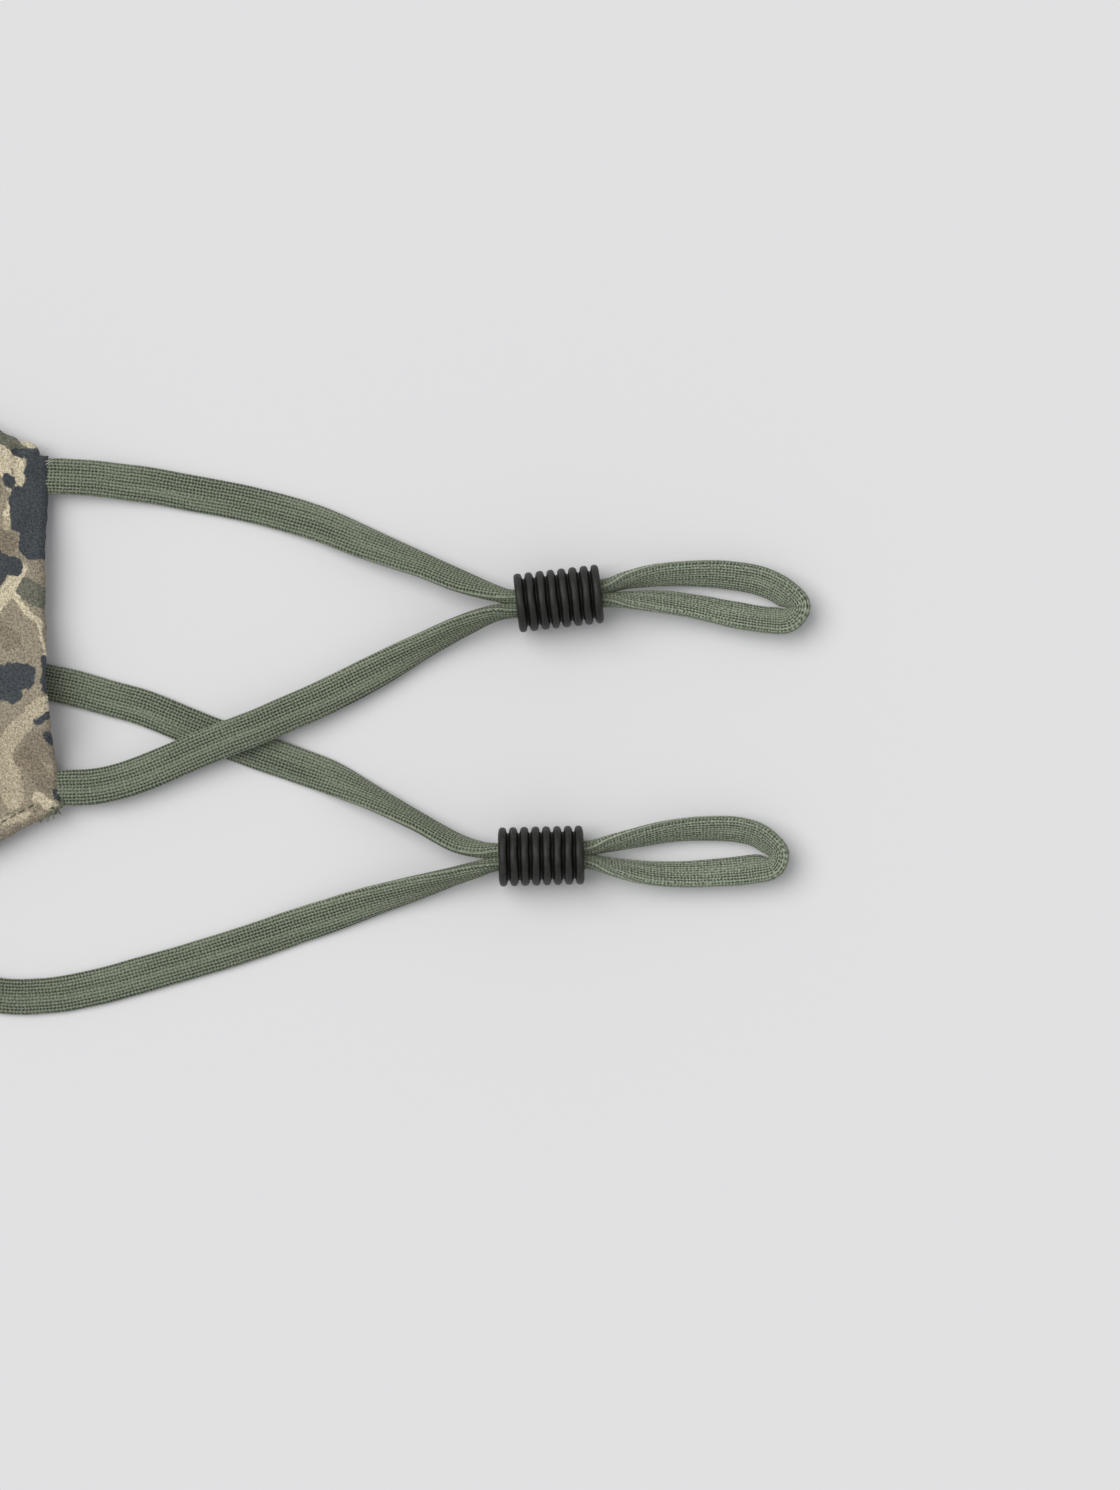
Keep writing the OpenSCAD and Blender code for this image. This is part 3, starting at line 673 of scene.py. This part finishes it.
class Half:
    """One half of the mask: its outline, the heights of its layers and its place in the row."""

    def __init__(self, name):
        self.name = name
        self.near = name == "near"
        side_top = (HALF_LEN, PIVOT_DROP)
        side_bottom = (HALF_LEN + SIDE_FLARE, PIVOT_DROP - SIDE_H)
        nose = (NOSE_IN, side_top[1] + NOSE_RISE)
        chin = (CHIN_IN, side_bottom[1] - CHIN_DROP)
        top_control = (NOSE_IN + 0.56 * (side_top[0] - NOSE_IN), side_top[1] + 0.69 * NOSE_RISE)
        bottom_control = (CHIN_IN + 0.59 * (side_bottom[0] - CHIN_IN), side_bottom[1] - 0.55 * CHIN_DROP)
        side_control = (HALF_LEN - SIDE_BOW, (side_top[1] + side_bottom[1]) / 2)
        seam = curve([nose, (-SEAM_BULGE, 0.28 * nose[1]), (-SEAM_BULGE, 0.45 * chin[1]), chin])
        self.fold = turned(seam, (-FOLD_SKEW if self.near else FOLD_SKEW) / 2)
        top = self.whole_top = curve([side_top, top_control, nose])
        self.top = np.vstack([top[top[:, 0] > self.fold[0, 0] + 1], self.fold[:1]])
        bottom = curve([chin, bottom_control, side_bottom])
        self.bottom = np.vstack([self.fold[-1:], bottom[bottom[:, 0] > self.fold[-1, 0] + 1]])
        self.side = curve([side_bottom, side_control, side_top], 32)

    def place(self, points):
        """From the half's own plane to the row's."""
        return turned(points, 0 if self.near else -FOLD_SKEW) + FOLD_PIVOT

    def grid(self, columns, rows):
        """A Coons patch: columns are shares from side edge to fold, rows are shares from bottom to top."""
        u, v = np.asarray(columns)[:, None, None], np.asarray(rows)[None, :, None]
        side = resample(self.side, rows)[None]
        fold = resample(self.fold[::-1], rows)[None]
        bottom = resample(self.bottom[::-1], columns)[:, None]
        top = resample(self.top, columns)[:, None]
        corners = ((1 - u) * (1 - v) * side[:, :1] + (1 - u) * v * side[:, -1:]
                   + u * (1 - v) * fold[:, :1] + u * v * fold[:, -1:])
        return ((1 - u) * side + u * fold + (1 - v) * bottom + v * top - corners).reshape(-1, 2)

    def edges(self, points):
        """How far each point is from each edge, and from the nearest free one."""
        d = {"side": distance(points, self.side), "top": distance(points, self.top),
             "bottom": distance(points, self.bottom), "fold": distance(points, self.fold)}
        d["free"] = np.minimum(np.minimum(d["side"], d["top"]), d["bottom"])
        return d

    def lift(self, points, d):
        """How far loose cloth stands above its flat stack. It is the same for all layers of a half."""
        x, y = self.place(points).T
        inner = smooth(d["fold"] / 22)
        dome = 2.3 * np.exp(-(((x - 5) / 42) ** 2 + ((y - 4) / 34) ** 2))
        rolls = 0.55 * wander(x * 0.55 + y * 0.25, y, 17, 31)
        crumple = 0.16 * wander(x, y, 6.5, 47, 3)
        ray = 0.0
        for root, reach, height in ROOT_FOLDS:
            dx, dy = x - root[0], y - root[1]
            away = np.hypot(dx, dy)
            angle = np.arctan2(dy, -dx)
            ray = ray + height * np.cos(angle * 7 + root[1]) * np.exp(-away / reach) * smooth(away / 9)
        lifted = (dome + rolls + crumple + ray + 0.35) * inner
        # the side edge stands up between the two ends of the elastic, most of all above the lower one
        edge = smooth(d["side"] / 9)
        raised = smooth((27 - y) / 9) * smooth((y + 16.5) / 7) * (1.5 + 3.6 * smooth((9 - y) / 14))
        hem_wave = 0.2 * wander(x * 0.3, y, 11, 53) + 0.2 + raised
        lifted = edge * lifted + (1 - edge) * hem_wave * inner
        calm = 0.45 + 0.55 * smooth(np.minimum(d["top"], d["bottom"]) / 16)
        lifted = np.maximum(lifted * calm, 0)
        return lifted if self.near else 0.3 * lifted

    def skin(self, points, d):
        """Heights of the outer cloth's outside and inside faces above the stack's inside face, in mm."""
        x, y = points.T
        outside = np.full(len(points), HALF_T)
        inside = np.full(len(points), LINING_T + INTERLINING_T)
        # turned hems are as thick as the stack, and the near half's stand a little proud of it
        for key, (width, stitch_in, proud, pulled) in HEMS.items():
            hem = 1 - smooth(d[key] - width + 0.5)
            inside = inside * (1 - hem) + 0.02 * hem
            if self.near:
                outside = outside + proud * hem * smooth(d[key] / 1.2 + 0.3)
            outside = outside - pulled * np.exp(-((d[key] - stitch_in) / 0.42) ** 2)
        # the top hem is lumpy, the bottom hem is roped by its stitches, and cloth puckers beside its seams
        top_hem = 1 - smooth((d["top"] - TOP_HEM_W) / 0.8)
        outside = outside + top_hem * 0.6 * wander(x, y * 0.5, 2.2, 61, 3) * smooth(d["top"] / 1.5 + 0.2)
        bottom_hem = 1 - smooth((d["bottom"] - BOTTOM_HEM_W) / 0.6)
        along = x * 0.9 - y * 0.5
        roping = np.sin(along * 2 * math.pi / 1.5 + 2.5 * wander(x, y, 5, 63, 1))
        outside = outside + bottom_hem * 0.12 * roping
        near_bottom = np.exp(-np.abs(d["bottom"] - BOTTOM_HEM_W) / 3.5)
        outside = outside + near_bottom * 0.2 * wander(x, y * 0.5, 2.8, 65, 2)
        near_side = np.exp(-np.abs(d["side"] - SIDE_STITCH_IN) / 1.6)
        outside = outside + near_side * 0.1 * wander(x * 0.25, y, 1.7, 67, 1)
        outside = outside + 0.045 * wander(x, y, 1.3, 71, 2)
        # a row of topstitching holds the centre seam's turned edges down
        outside = outside - 0.2 * np.exp(-((d["fold"] - SEAM_STITCH_IN) / 0.4) ** 2)
        if not self.near:
            outside = np.minimum(outside, HALF_T - 0.02)
        # free edges are rounded to the middle of the hem, and the fold turns round to meet the other half
        hem_middle = HALF_T / 2 + (0.12 if self.near else 0)
        for way_in, radius, middle in ((d["free"], 1.15, hem_middle), (d["fold"], 2.4, -0.25)):
            share = rounded(way_in, radius)
            outside = middle + (outside - middle) * share
            inside = middle + (inside - middle) * share
        return outside, inside

    def height(self, out, lift):
        """From a height above the stack's inside face to the row's z."""
        return NEAR_Z + out + lift if self.near else HALF_T - out + lift

    def share(self, points, d):
        """Weight between the far body (0) and the near body (1): one half at the fold. Away from it the
        weight is the one for a fully open mask whose cloth runs straight from the fold to the side hem,
        rounded close to the seam."""
        line = self.place(self.fold) - AXIS_AT
        line = line[np.argsort(line @ AXIS_WAY)]
        across = np.array([AXIS_WAY[1], -AXIS_WAY[0]])
        place = self.place(points) - AXIS_AT
        start = np.maximum(np.interp(place @ AXIS_WAY, line @ AXIS_WAY, line @ across), 0.05)
        reach = np.maximum(place @ across, start)
        half_turn = math.radians(OPEN_ANGLE / 2)
        slope = np.arctan2(start * math.sin(half_turn), RIGID_FROM - start * math.cos(half_turn))
        turn = np.arcsin(np.clip(RIGID_FROM * np.sin(slope) / reach, 0, 1)) - slope
        straight = np.clip(turn / (2 * half_turn), 0, 0.5)
        bent = 0.5 * (1 - smooth(d["fold"] / 10))
        weight = straight + bent - straight * bent / 0.5
        return 1 - weight if self.near else weight

    def area(self):
        loop = np.vstack([self.top, self.fold, self.bottom, self.side])
        x, y = loop.T
        return abs(float(np.dot(x, np.roll(y, -1)) - np.dot(y, np.roll(x, -1)))) / 2


def spread(length, first, last, coarse):
    """Shares along a side, with the given places in mm close together near its two ends."""
    gap = length - first[-1] - last[-1]
    count = max(2, round(gap / coarse))
    middle = [first[-1] + gap * i / count for i in range(1, count)]
    return np.array(first + middle + [length - p for p in last[::-1]]) / length


def fine_start(until, step):
    """Places from an edge inward, closer together round the edge itself."""
    places = [0, 0.08, 0.25, 0.5, 0.8, 1.15]
    while places[-1] < until:
        places.append(places[-1] + step)
    return places


def rim_of(columns, rows):
    """Which points of a grid lie on its rim."""
    rim = np.zeros((columns, rows), bool)
    rim[[0, -1]] = True
    rim[:, [0, -1]] = True
    return rim.ravel()


def shell(name, half, size, points, outside, inside, lift, shares, material):
    """A closed thin sheet from two height fields on one grid of size columns and rows, which share its rim.
    Gives the piece and the grid point behind each of its vertices."""
    count = size[0] * size[1]
    place = half.place(points)
    rim = rim_of(*size)
    top = np.column_stack([place, half.height(outside, lift)])
    low = np.column_stack([place, half.height(inside, lift)])[~rim]
    top_index = np.arange(count).reshape(size)
    low_index = np.where(rim, np.arange(count), count + np.cumsum(~rim) - 1).reshape(size)
    faces = []
    for index, corners in ((top_index, (0, 3, 2, 1)), (low_index, (0, 1, 2, 3))):
        quads = np.stack([index[:-1, :-1], index[1:, :-1], index[1:, 1:], index[:-1, 1:]], -1)[..., corners]
        faces += [tuple(f) for f in quads.reshape(-1, 4)[:, ::1 if half.near else -1].tolist()]
    piece = mesh_object(name, np.vstack([top, low]), faces, material)
    keep = np.concatenate([np.arange(count), np.arange(count)[~rim]])
    set_blend(piece, shares[keep])
    return piece, keep


def print_fields(half, points):
    """How far inside each kind of patch a point is, in mm. Past the edge's strokes the patches are random."""
    x, y = half.place(points).T
    seed = 3 if half.near else 9
    one = wander(x * 0.8 + y * 0.35, y * 1.15, 19, seed, 3)
    two = wander(x, y * 1.3, 14, seed + 20, 3)
    three = wander(x - y * 0.4, y, 27, seed + 40, 2)
    four = wander(x, y, 9, seed + 60, 2)
    ring = np.minimum((one - 0.12) * 8, (0.34 - one) * 30) + two * 2.2 - 0.6
    fields = [(one - 0.30) * 9, np.maximum(ring, (two - 0.62) * 8), (three - 0.18) * 12, (four - 0.42) * 6,
              np.minimum((0.1 - one) * 8, (two - 0.05) * 8)]
    fields = [np.clip(f, -4, 4) for f in fields]
    if half.near:
        quiet = smooth((x - 43.5) / 5) * 8
        fields = [np.maximum(f - quiet, -4) for f in fields]
        bend = np.column_stack([0.36 * wander(x, y, 3.1, 81, 2), 0.36 * wander(x, y, 3.3, 83, 2)])
        bend[:, 0] -= 0.4
        flat = np.column_stack([x, y]) + bend
        for kind, strokes in enumerate(EDGE_STROKES):
            for *ends, width in strokes:
                inside = width - distance(flat, np.reshape(ends, (2, 2)))
                fields[kind] = np.maximum(fields[kind], inside)
    return fields


def make_cloth(half, material):
    """The outer cloth of one half with its turned hems."""
    fold_long = line_length(half.fold)
    by_fold, ends = [0, 0.1, 0.3, 0.6, 1.0, 1.5, 2.1, 2.8], fine_start(3.6, 0.36)
    columns = spread(line_length(half.top), fine_start(9.0, 0.38), by_fold, 0.85)
    rows = spread((fold_long + line_length(half.side)) / 2, ends, ends, 0.62)
    points = half.grid(columns, rows)
    d = half.edges(points)
    lift = half.lift(points, d)
    outside, inside = half.skin(points, d)
    shares = half.share(points, d)
    # sewn edges are never quite straight
    off_fold = smooth(d["fold"] / 10)
    loose = (0.24 * np.exp(-d["free"] / 3.0) * off_fold)[:, None]
    x, y = points.T
    points = points + loose * np.column_stack([wander(x, y, 3.4, 101, 3), wander(x, y, 2.6, 103, 3)])
    if half.near:
        points = points + np.column_stack([0.6 * np.exp(-d["side"] / 5), 0 * x])
    gathers = 0.42 * np.exp(-d["top"] / 2.2) * off_fold * wander(x, y, 2.4, 105, 2)
    points = points + np.column_stack([0.45 * gathers, gathers])
    # the side hem's two corners are turned in and blunt
    for corner, way in ((half.side[-1], (-0.5, -0.4)), (half.side[0], (-0.45, 0.35))):
        away = np.linalg.norm(points - corner, axis=1)
        points = points + np.exp(-(away / 1.25) ** 2)[:, None] * np.array(way)
    piece, keep = shell(f"camo_cloth_{half.name}", half, (len(columns), len(rows)), points, outside, inside,
                        lift, shares, material)
    set_uv(piece, points[keep] + (0 if half.near else 300))
    navy, cream, beige, olive, brown = [f[keep] for f in print_fields(half, points)]
    set_field(piece, "print_a", navy, cream, beige)
    set_field(piece, "print_b", olive, brown, brown * 0)
    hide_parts(f"outer_panel_{half.name}", f"side_hem_{half.name}", f"top_hem_{half.name}",
                f"bottom_hem_{half.name}", f"centre_seam_{half.name}")
    half.area() * MM * MM


def make_inner(half, kind, low, high, inset, material):
    """A layer inside the hems, cut a little larger than the opening between them."""
    steps, seam_in, slant = 120, 4.2, 1.3
    columns = rows = np.linspace(0, 1, steps)
    wide, tall = line_length(half.top), (line_length(half.fold) + line_length(half.side)) / 2
    left, right = (SIDE_HEM_W + 0.1 + inset * 0.2) / wide, 1 - (seam_in + inset * 0.2) / wide
    base = 1 - slant * (TOP_HEM_W + 0.1 + inset * 0.2) / tall
    foot = slant * (BOTTOM_HEM_W + 0.1 + inset * 0.2) / tall
    points = half.grid(left + (right - left) * columns, foot + (base - foot) * rows)
    d = half.edges(points)
    x, y = points.T
    ruck = 0.05 * wander(x, y, 4.0, 91, 2) if kind == "lining" else 0 * x
    rim, middle = rim_of(steps, steps), (low + high) / 2
    outside = np.where(rim, middle, high - 0.02)
    inside = np.where(rim, middle, low + 0.02 - np.abs(ruck))
    piece, keep = shell(f"{kind}_layer_{half.name}", half, (steps, steps), points, outside, inside,
                        half.lift(points, d), half.share(points, d), material)
    set_uv(piece, points[keep])
    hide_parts(f"{kind}_{half.name}")
    (half.area() * 0.86) * MM * MM


# ------ sewn thread and wire
THREAD_SIDES = 6
STITCH_STEPS = 6


def rope_mesh(paths, radius):
    """Tubes with round tips along several paths, as points and faces."""
    sides = THREAD_SIDES
    points, faces = [], []
    for path in paths:
        path = np.asarray(path, float)
        tangent = np.gradient(path, axis=0)
        tangent /= np.maximum(np.linalg.norm(tangent, axis=1), 1e-9)[:, None]
        first = np.cross(tangent, np.array([0.0, 0.0, 1.0]))
        first /= np.maximum(np.linalg.norm(first, axis=1), 1e-6)[:, None]
        second = np.cross(tangent, first)
        base, rows = len(points), len(path)
        thick = radius * np.sqrt(np.clip(1 - np.abs(np.linspace(-1, 1, rows)) ** 8, 0.06, 1))
        for k in range(rows):
            for s in range(sides):
                a = 2 * math.pi * s / sides
                points.append(path[k] + thick[k] * (math.cos(a) * first[k] + math.sin(a) * second[k]))
        faces += [tuple(base + i for i in f) for f in row_faces(rows, sides) + caps(rows, sides)]
    return np.array(points), faces


def thread_piece(name, paths, radius, material):
    points, faces = rope_mesh(paths, radius)
    piece = mesh_object(name, points, faces, material)
    set_uv(piece, points[:, :2])
    return piece


def stitch_paths(half, line, inset, pitch, long, first=3.0):
    """Short arched stitches over the cloth along a line moved in from an edge, each with its blend weight."""
    last, steps = 3.0, STITCH_STEPS
    line = offset_line(line, inset)
    total = line_length(line)
    arc = np.sin(np.linspace(0, math.pi, steps))
    paths = []
    for k, start in enumerate(np.arange(first, total - last, pitch)):
        jitter = 0.12 * math.sin(k * 12.9898)
        flat = resample(line, (start + jitter + long * np.linspace(0, 1, steps)) / total)
        d = half.edges(flat)
        outside, _ = half.skin(flat, d)
        z = half.height(outside - 0.06 + 0.16 * arc, half.lift(flat, d))
        if not half.near:
            z = np.maximum(z, 0.18)
        paths.append((np.column_stack([half.place(flat), z]), half.share(flat, d).mean()))
    return paths


def make_stitches(half, material):
    """The hems' topstitching, shorter on the bottom hem, and a row beside the centre seam."""
    rows = stitch_paths(half, half.side, SIDE_STITCH_IN, 2.5, 1.9)
    rows += stitch_paths(half, half.top, TOP_STITCH_IN, 2.5, 1.9, first=7)
    rows += stitch_paths(half, half.fold, SEAM_STITCH_IN, 2.6, 1.9)
    rows += stitch_paths(half, half.bottom, BOTTOM_STITCH_IN, 1.7, 1.35)
    piece = thread_piece(f"hem_topstitch_{half.name}", [path for path, _ in rows], 0.15, material)
    shares = np.repeat([share for _, share in rows], STITCH_STEPS * THREAD_SIDES)
    set_blend(piece, shares)
    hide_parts(f"hem_stitches_{half.name}")


def make_bartacks(half, route, material):
    """A dense zigzag across each end of the elastic, on the inside of the side hem."""
    turns = 28
    paths = []
    for inner, outer in ((route[0], route[1]), (route[-1], route[-2])):
        inner, outer = np.array(inner[:2]), np.array(outer[:2])
        middle = (inner + outer) / 2
        way = (outer - inner) / np.linalg.norm(outer - inner)
        across = np.array([-way[1], way[0]])
        for line in (-0.55, 0.55):
            flat = np.array([middle + way * (line + (0.42 if k % 2 else -0.42))
                             + across * (-1 + 2 * k / turns) * (STRAP_W / 2 + 0.2) for k in range(turns + 1)])
            local = turned(flat - FOLD_PIVOT, 0 if half.near else FOLD_SKEW)
            d = half.edges(local)
            _, inside = half.skin(local, d)
            paths.append(np.column_stack([flat, half.height(inside - 0.06, half.lift(local, d))]))
    piece = thread_piece(f"bartack_zigzag_{half.name}", paths, 0.14, material)
    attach(piece, f"{half.name}_half")
    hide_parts(f"bartacks_{half.name}")


def make_nose_wire(half, material):
    """A flat coated wire inside the top hem, beside the nose."""
    steps, sides, half_wide, half_thick = 40, 12, 1.0, 0.26
    flat = resample(offset_line(half.whole_top, TOP_HEM_W / 2), np.linspace(0.64, 0.88, steps))
    d = half.edges(flat)
    z = half.height(np.full(steps, HALF_T / 2), half.lift(flat, d))
    path = np.column_stack([half.place(flat), z])
    tangent = np.gradient(path, axis=0)
    tangent /= np.linalg.norm(tangent, axis=1)[:, None]
    across = np.column_stack([-tangent[:, 1], tangent[:, 0], 0 * z])
    ring = []
    for a in np.linspace(0, 2 * math.pi, sides + 1)[:-1]:
        c, s = math.cos(a), math.sin(a)
        ring.append((abs(c) ** 0.5 * math.copysign(1, c), abs(s) ** 0.6 * math.copysign(1, s)))
    points = []
    for k in range(steps):
        taper = 1 if 0 < k < steps - 1 else 0.8
        for c, s in ring:
            rise = np.array([0, 0, s * half_thick * taper])
            points.append(path[k] + across[k] * c * half_wide * taper + rise)
    piece = mesh_object(f"nose_wire_flat_{half.name}", points, row_faces(steps, sides) + caps(steps, sides),
                        material)
    set_uv(piece, np.array(points)[:, :2])
    set_blend(piece, np.repeat(half.share(flat, d), sides))
    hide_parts(f"nose_wire_{half.name}")


def make_frays(name, material, draw, start, end, lean, both_ways, count, reach, curl, radius):
    """Curled thread ends along a piece of the near side hem, from start to end."""
    steps = 10
    start, end = np.array(start), np.array(end)
    edge_angle = math.atan2(*(end - start)[::-1])
    paths = []
    for _ in range(count):
        p = start + (end - start) * draw.random()
        p = p + np.array([draw.gauss(0, 0.3), draw.gauss(0, 0.35)])
        way = draw.choice((0, math.pi)) * both_ways
        angle = edge_angle + way + draw.gauss(lean - 0.35, 0.4)
        bend = draw.gauss(0, curl)
        long = draw.uniform(*reach)
        z = NEAR_Z + HALF_T * draw.uniform(0.75, 1.35)
        rise = draw.uniform(0.1, 0.5)
        path = []
        for step in range(steps + 1):
            height = z + rise * math.sin(step / steps * math.pi) - 0.05 * step
            path.append((p[0], p[1], max(height, 0.2)))
            p = p + np.array([math.cos(angle), math.sin(angle)]) * long / steps
            angle += bend * 0.5
        paths.append(path)
    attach(thread_piece(name, paths, radius, material), "near_half")


# ------ everything together
def build():
    make_camera()
    camo, elastic, rubber = camo_material(), elastic_material(), rubber_material()
    lining = plain_cloth("lining_weave", (0.26, 0.26, 0.235), 6.0)
    interlining = plain_cloth("interlining_felt", (0.55, 0.55, 0.52), 3.0)
    thread = thread_material("dark_olive_thread", (0.115, 0.125, 0.085))
    pale_thread = thread_material("pale_thread", (0.62, 0.60, 0.54))
    green_thread = thread_material("green_thread", (0.165, 0.190, 0.130))
    wire = wire_material()
    for name, route, seed in (("near", NEAR_ROUTE, 5), ("far", FAR_ROUTE, 8)):
        stopper = make_stopper(name, rubber, seed)
        make_ear_loop(name, route, elastic, seed)
    for name, route in (("far", FAR_ROUTE), ("near", NEAR_ROUTE)):
        half = Half(name)
        make_cloth(half, camo)
        make_inner(half, "interlining", LINING_T + 0.03, LINING_T + INTERLINING_T - 0.05, 1.8, interlining)
        make_inner(half, "lining", 0.0, LINING_T - 0.03, 0.9, lining)
        make_stitches(half, thread)
        make_bartacks(half, route, thread)
        make_nose_wire(half, wire)
    # the near side hem frays green along its bottom corner, and shows a few pale ends at its top corner
    draw = random.Random(41)
    make_frays("frayed_threads_green", green_thread, draw, (53.6, -24.7), (58.6, -22.7),
               lean=0.3, both_ways=1, count=56, reach=(1.2, 2.8), curl=1.3, radius=0.1)
    make_frays("frayed_threads_pale", pale_thread, draw, (55.4, 35.2), (57.0, 33.6),
               lean=2.2, both_ways=0, count=5, reach=(0.9, 1.9), curl=0.2, radius=0.055)
    make_light()
    make_floor()


build()
